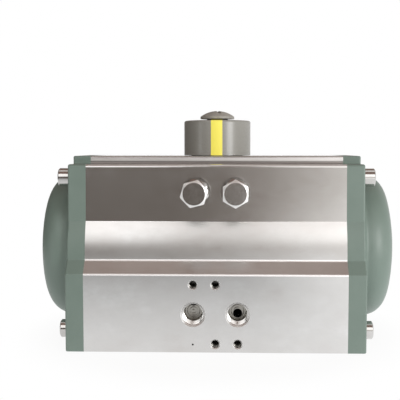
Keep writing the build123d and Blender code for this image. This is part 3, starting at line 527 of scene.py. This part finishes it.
acetal, tree, shader = new_finish("acetal", (0.74, 0.71, 0.62), metallic=0, roughness=0.38)
tooled = grain(tree, (350, 350, 350), detail=3, roughness=0.6)
speckle(tree, shader, tones=(tooled, (0.70, 0.67, 0.58), (0.77, 0.745, 0.66)),
        roughness=(tooled, 0.32, 0.46), bumps=(tooled, 0.00002, 0.3))
dress(acetal, "lower_bush", "upper_bush", "thrust_ring", "thrust_washer", "guide_band_left",
      "guide_band_right", "rack_pad_left", "rack_pad_right")

# Pinion and stop cam: alloy steel, turned and hobbed, then nickel plated to a dull grey.
# The cam's hub slides on the pinion's octagon and rests against the thrust ring.
plated, tree, shader = new_finish("nickel_plated_steel", (0.56, 0.54, 0.50), metallic=1, roughness=0.3)
hobbed = grain(tree, (500, 500, 1600), detail=4, roughness=0.65)
speckle(tree, shader, tones=(hobbed, (0.52, 0.50, 0.46), (0.60, 0.58, 0.54)),
        roughness=(hobbed, 0.22, 0.4), bumps=(hobbed, 0.00002, 0.3))
dress(plated, "pinion", "stop_cam")

# Circlip: blanked from spring steel, blackened and oiled. It snaps into the groove above
# the thrust washer and keeps the pinion in the body.
blackened, tree, shader = new_finish("blackened_steel", (0.07, 0.068, 0.066), metallic=1, roughness=0.42)
oiled = grain(tree, (300, 300, 300), detail=3, roughness=0.6)
speckle(tree, shader, tones=(oiled, (0.055, 0.054, 0.052), (0.09, 0.088, 0.085)),
        roughness=(oiled, 0.34, 0.52), bumps=(oiled, 0.00002, 0.25))
dress(blackened, "circlip")

# Pistons: die-cast aluminium with turned rims and milled racks. Their cast faces keep
# the dull, slightly rough skin of the die.
cast_aluminium, tree, shader = new_finish("cast_aluminium", (0.60, 0.60, 0.60), metallic=1, roughness=0.42)
skin = grain(tree, (260, 260, 260), detail=4, roughness=0.65)
speckle(tree, shader, tones=(skin, (0.54, 0.54, 0.54), (0.66, 0.66, 0.66)),
        roughness=(skin, 0.34, 0.52), bumps=(skin, 0.00006, 0.35))
dress(cast_aluminium, "piston_left", "piston_right")

# Seals: moulded nitrile rings, black with a dull skin and a little grease. The washer
# under the indicator screw is of the same rubber.
rubber, tree, shader = new_finish("seal_rubber", (0.018, 0.018, 0.018), metallic=0, roughness=0.6)
bloom = grain(tree, (240, 240, 240), detail=3, roughness=0.6)
speckle(tree, shader, tones=(bloom, (0.014, 0.014, 0.014), (0.03, 0.03, 0.03)),
        roughness=(bloom, 0.45, 0.7), bumps=(bloom, 0.00003, 0.3))
dress(rubber, "cap_seal_left", "cap_seal_right", "duct_seals", "lower_shaft_seal",
      "upper_shaft_seal", "piston_seal_left", "piston_seal_right", "indicator_washer")

# End caps: pressure die-castings in aluminium, shot-blasted and powder coated in a
# grey-green half gloss, with a slight orange peel. Each is held by four socket screws.
cap_paint, tree, shader = new_finish("cap_paint", (0.168, 0.220, 0.190), metallic=0, roughness=0.40)
peel = grain(tree, (900, 900, 900), detail=2, roughness=0.5)
dust = grain(tree, (70, 70, 70), detail=4, roughness=0.6)
speckle(tree, shader, tones=(dust, (0.161, 0.213, 0.183), (0.175, 0.228, 0.197)),
        roughness=(dust, 0.36, 0.48), bumps=(peel, 0.00003, 0.3))
dress(cap_paint, "end_cap_left", "end_cap_right")

# Cap screws and sealing washers: stainless steel, cold headed or turned, and bright
# from tumbling. The screw heads have a hexagon socket.
stainless, tree, shader = new_finish("stainless_steel", (0.64, 0.63, 0.61), metallic=1, roughness=0.18)
turned = grain(tree, (700, 700, 700), detail=4, roughness=0.7)
fingered = grain(tree, (120, 120, 120), detail=2, roughness=0.5)
steel_colour = tint(tree, spread(tree, fingered, 0, 1), (0.58, 0.57, 0.55), (0.68, 0.67, 0.66))
steel_roughness = spread(tree, turned, 0.10, 0.20)
relief(tree, shader, (turned, 0.000012, 0.25))
dress(stainless, "cap_screws_left", "cap_screws_right", "seal_washers")

# Stop screws and locknuts: stainless M8 with a 13 mm hexagon, cold headed, chamfered on
# the face and rolled with a 1.25 mm thread. The nuts lock them where they are set. The
# steel is the cap screws' one, but the chamfers of the heads are paler and less smooth.
stop_arm, stop_height = 0.0107, 0.0859
flat_reach, face_ring, facets, chamfer_angle = 0.0065, 0.0058, 72, 30
head_back, chamfer_end = -0.0588, -0.0632
head_turns = {"left": 14, "right": 30}
nut_front, nut_back, nut_turn, nut_bore = -0.0483, -0.0421, 42, 0.0041
core_radius, thread_in_core, thread_in_head, shank_in_head = 0.00338, 0.00003, 0.0003, 0.001
rolled_thread = {"wall": core_radius - thread_in_core, "crest": 0.00398, "pitch": 0.00125, "segments": 28}
tip_step, tip_radius, tip_slope, tip_chamfer, shank_segments = -0.0141, 0.003, 0.0001, 0.0004, 32
chamfer_pale, chamfer_roughness = (0.88, 0.87, 0.86), 0.42

across, depth, up = axes(tree)
head_reach = distance(tree, join(tree, "ABSOLUTE", across), up, (stop_arm, stop_height))
on_chamfer = both(tree, rising(tree, head_reach, face_ring - tenth, face_ring + tenth),
                  falling(tree, depth, chamfer_end, chamfer_end + 2 * tenth))
feed(tree, tint(tree, on_chamfer, steel_colour, chamfer_pale), shader.inputs["Base Color"])
feed(tree, level(tree, on_chamfer, steel_roughness, chamfer_roughness), shader.inputs["Roughness"])


def add_loop(form, edges, place):
    """Extrudes a loop of edges and puts each new corner where place sends it."""
    grown = bmesh.ops.extrude_edge_only(form, edges=edges)["geom"]
    for corner in grown:
        if isinstance(corner, bmesh.types.BMVert):
            corner.co = place(atan2(corner.co.z, corner.co.x))
    return [part for part in grown if isinstance(part, bmesh.types.BMEdge)]


def hexagon_block(form, turn, front, back, chamfer_back=False, bore=None):
    """A hexagon with its axis along Y, chamfered in front, and behind where asked."""
    def reach(angle):
        return flat_reach / cos(radians((degrees(angle) - turn) % 60 - 30))

    def round_at(radius, y):
        return lambda angle: Vector((radius * cos(angle), y, radius * sin(angle)))

    def flats_at(y, slope):
        return lambda angle: Vector((
            reach(angle) * cos(angle),
            y + slope * (reach(angle) - face_ring) * tan(radians(chamfer_angle)),
            reach(angle) * sin(angle),
        ))

    stand = Matrix.Translation((0, front, 0)) @ Matrix.Rotation(radians(90), 4, "X")
    bmesh.ops.create_circle(form, segments=facets, radius=face_ring, matrix=stand)
    first = form.edges[:]
    loop = add_loop(form, first, flats_at(front, 1))
    loop = add_loop(form, loop, flats_at(back, -1 if chamfer_back else 0))
    if chamfer_back:
        loop = add_loop(form, loop, round_at(face_ring, back))
    if bore:
        loop = add_loop(form, loop, round_at(bore, back))
        loop = add_loop(form, loop, round_at(bore, front))
        bmesh.ops.bridge_loops(form, edges=first + loop)
    else:
        bmesh.ops.holes_fill(form, edges=first + loop, sides=0)


def turned_shank(form, tip):
    """The core of the screw's thread, with its stepped tip, spun about Y."""
    outline = [form.verts.new((radius, y, 0)) for radius, y in (
        (0, head_back - shank_in_head), (core_radius, head_back - shank_in_head), (core_radius, tip_step),
        (tip_radius, tip_step + tip_slope), (tip_radius, tip - tip_chamfer),
        (tip_radius - tip_chamfer, tip), (0, tip),
    )]
    edges = [form.edges.new(pair) for pair in zip(outline, outline[1:])]
    bmesh.ops.spin(form, geom=outline + edges, cent=(0, 0, 0), axis=(0, 1, 0), angle=2 * pi,
                   steps=shank_segments, use_merge=True)


for side, x in (("left", -stop_arm), ("right", stop_arm)):
    low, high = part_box(f"stop_screw_{side}")
    screw, head, shank = bmesh.new(), bmesh.new(), bmesh.new()
    hexagon_block(head, head_turns[side], low[1], head_back)
    copy_into(screw, head, (x, 0, stop_height))
    turned_shank(shank, high[1])
    copy_into(screw, shank, (x, 0, stop_height))
    foot = (x, head_back - thread_in_head, stop_height)
    wind_thread(screw, foot, inwards_from_front, length=tip_step - head_back, **rolled_thread)
    finish_piece(f"stop_screw_{side}_threaded", screw, stainless,
                 f"{side}_stop", replaced=[f"stop_screw_{side}"], sharp=24)

nuts = bmesh.new()
for x in (-stop_arm, stop_arm):
    nut = bmesh.new()
    hexagon_block(nut, nut_turn, nut_front, nut_back, chamfer_back=True, bore=nut_bore)
    copy_into(nuts, nut, (x, 0, stop_height))
finish_piece("locknuts_chamfered", nuts, stainless, "housing",
             replaced=["locknuts"], sharp=24)

# Position indicator: an injection-moulded polyamide cap in warm grey, with the fine
# texture of a spark-eroded mould. It is keyed on the pinion's end and shows its turn.
indicator_grey, tree, shader = new_finish("indicator_grey", (0.28, 0.274, 0.25), metallic=0, roughness=0.30)
shader.inputs["IOR"].default_value = 1.55
eroded = grain(tree, (2600, 2600, 2600), detail=2, roughness=0.6)
flow = grain(tree, (60, 60, 25), detail=2, roughness=0.5)
speckle(tree, shader, tones=(flow, (0.268, 0.262, 0.238), (0.292, 0.286, 0.26)),
        roughness=(eroded, 0.25, 0.34), bumps=(eroded, 0.000008, 0.3))
dress(indicator_grey, "indicator_cap")

# Yellow strip: a second moulding in the same polyamide, pressed flush into the groove
# down the front, over the top and down the back of the cap.
indicator_yellow, tree, shader = new_finish("indicator_yellow", (0.93, 0.82, 0.13),
                                            metallic=0, roughness=0.34)
eroded = grain(tree, (2600, 2600, 2600), detail=2, roughness=0.6)
flow = grain(tree, (120, 120, 60), detail=3, roughness=0.5)
speckle(tree, shader, tones=(flow, (0.985, 0.875, 0.125), (1.0, 0.905, 0.145)),
        roughness=(eroded, 0.36, 0.5), bumps=(eroded, 0.000008, 0.25))
dress(indicator_yellow, "indicator_stripe")

# Indicator screw: a grey nylon mushroom head with a driver slot, moulded over a steel
# thread. It clamps the cap and the rubber washer to the pinion's end.
screw_grey, tree, shader = new_finish("screw_grey", (0.36, 0.347, 0.314), metallic=0, roughness=0.45)
moulded = grain(tree, (420, 420, 420), detail=4, roughness=0.65)
speckle(tree, shader, tones=(moulded, (0.31, 0.297, 0.268), (0.41, 0.397, 0.36)),
        roughness=(moulded, 0.42, 0.6), bumps=(moulded, 0.00008, 0.4))
dress(screw_grey, "indicator_screw")
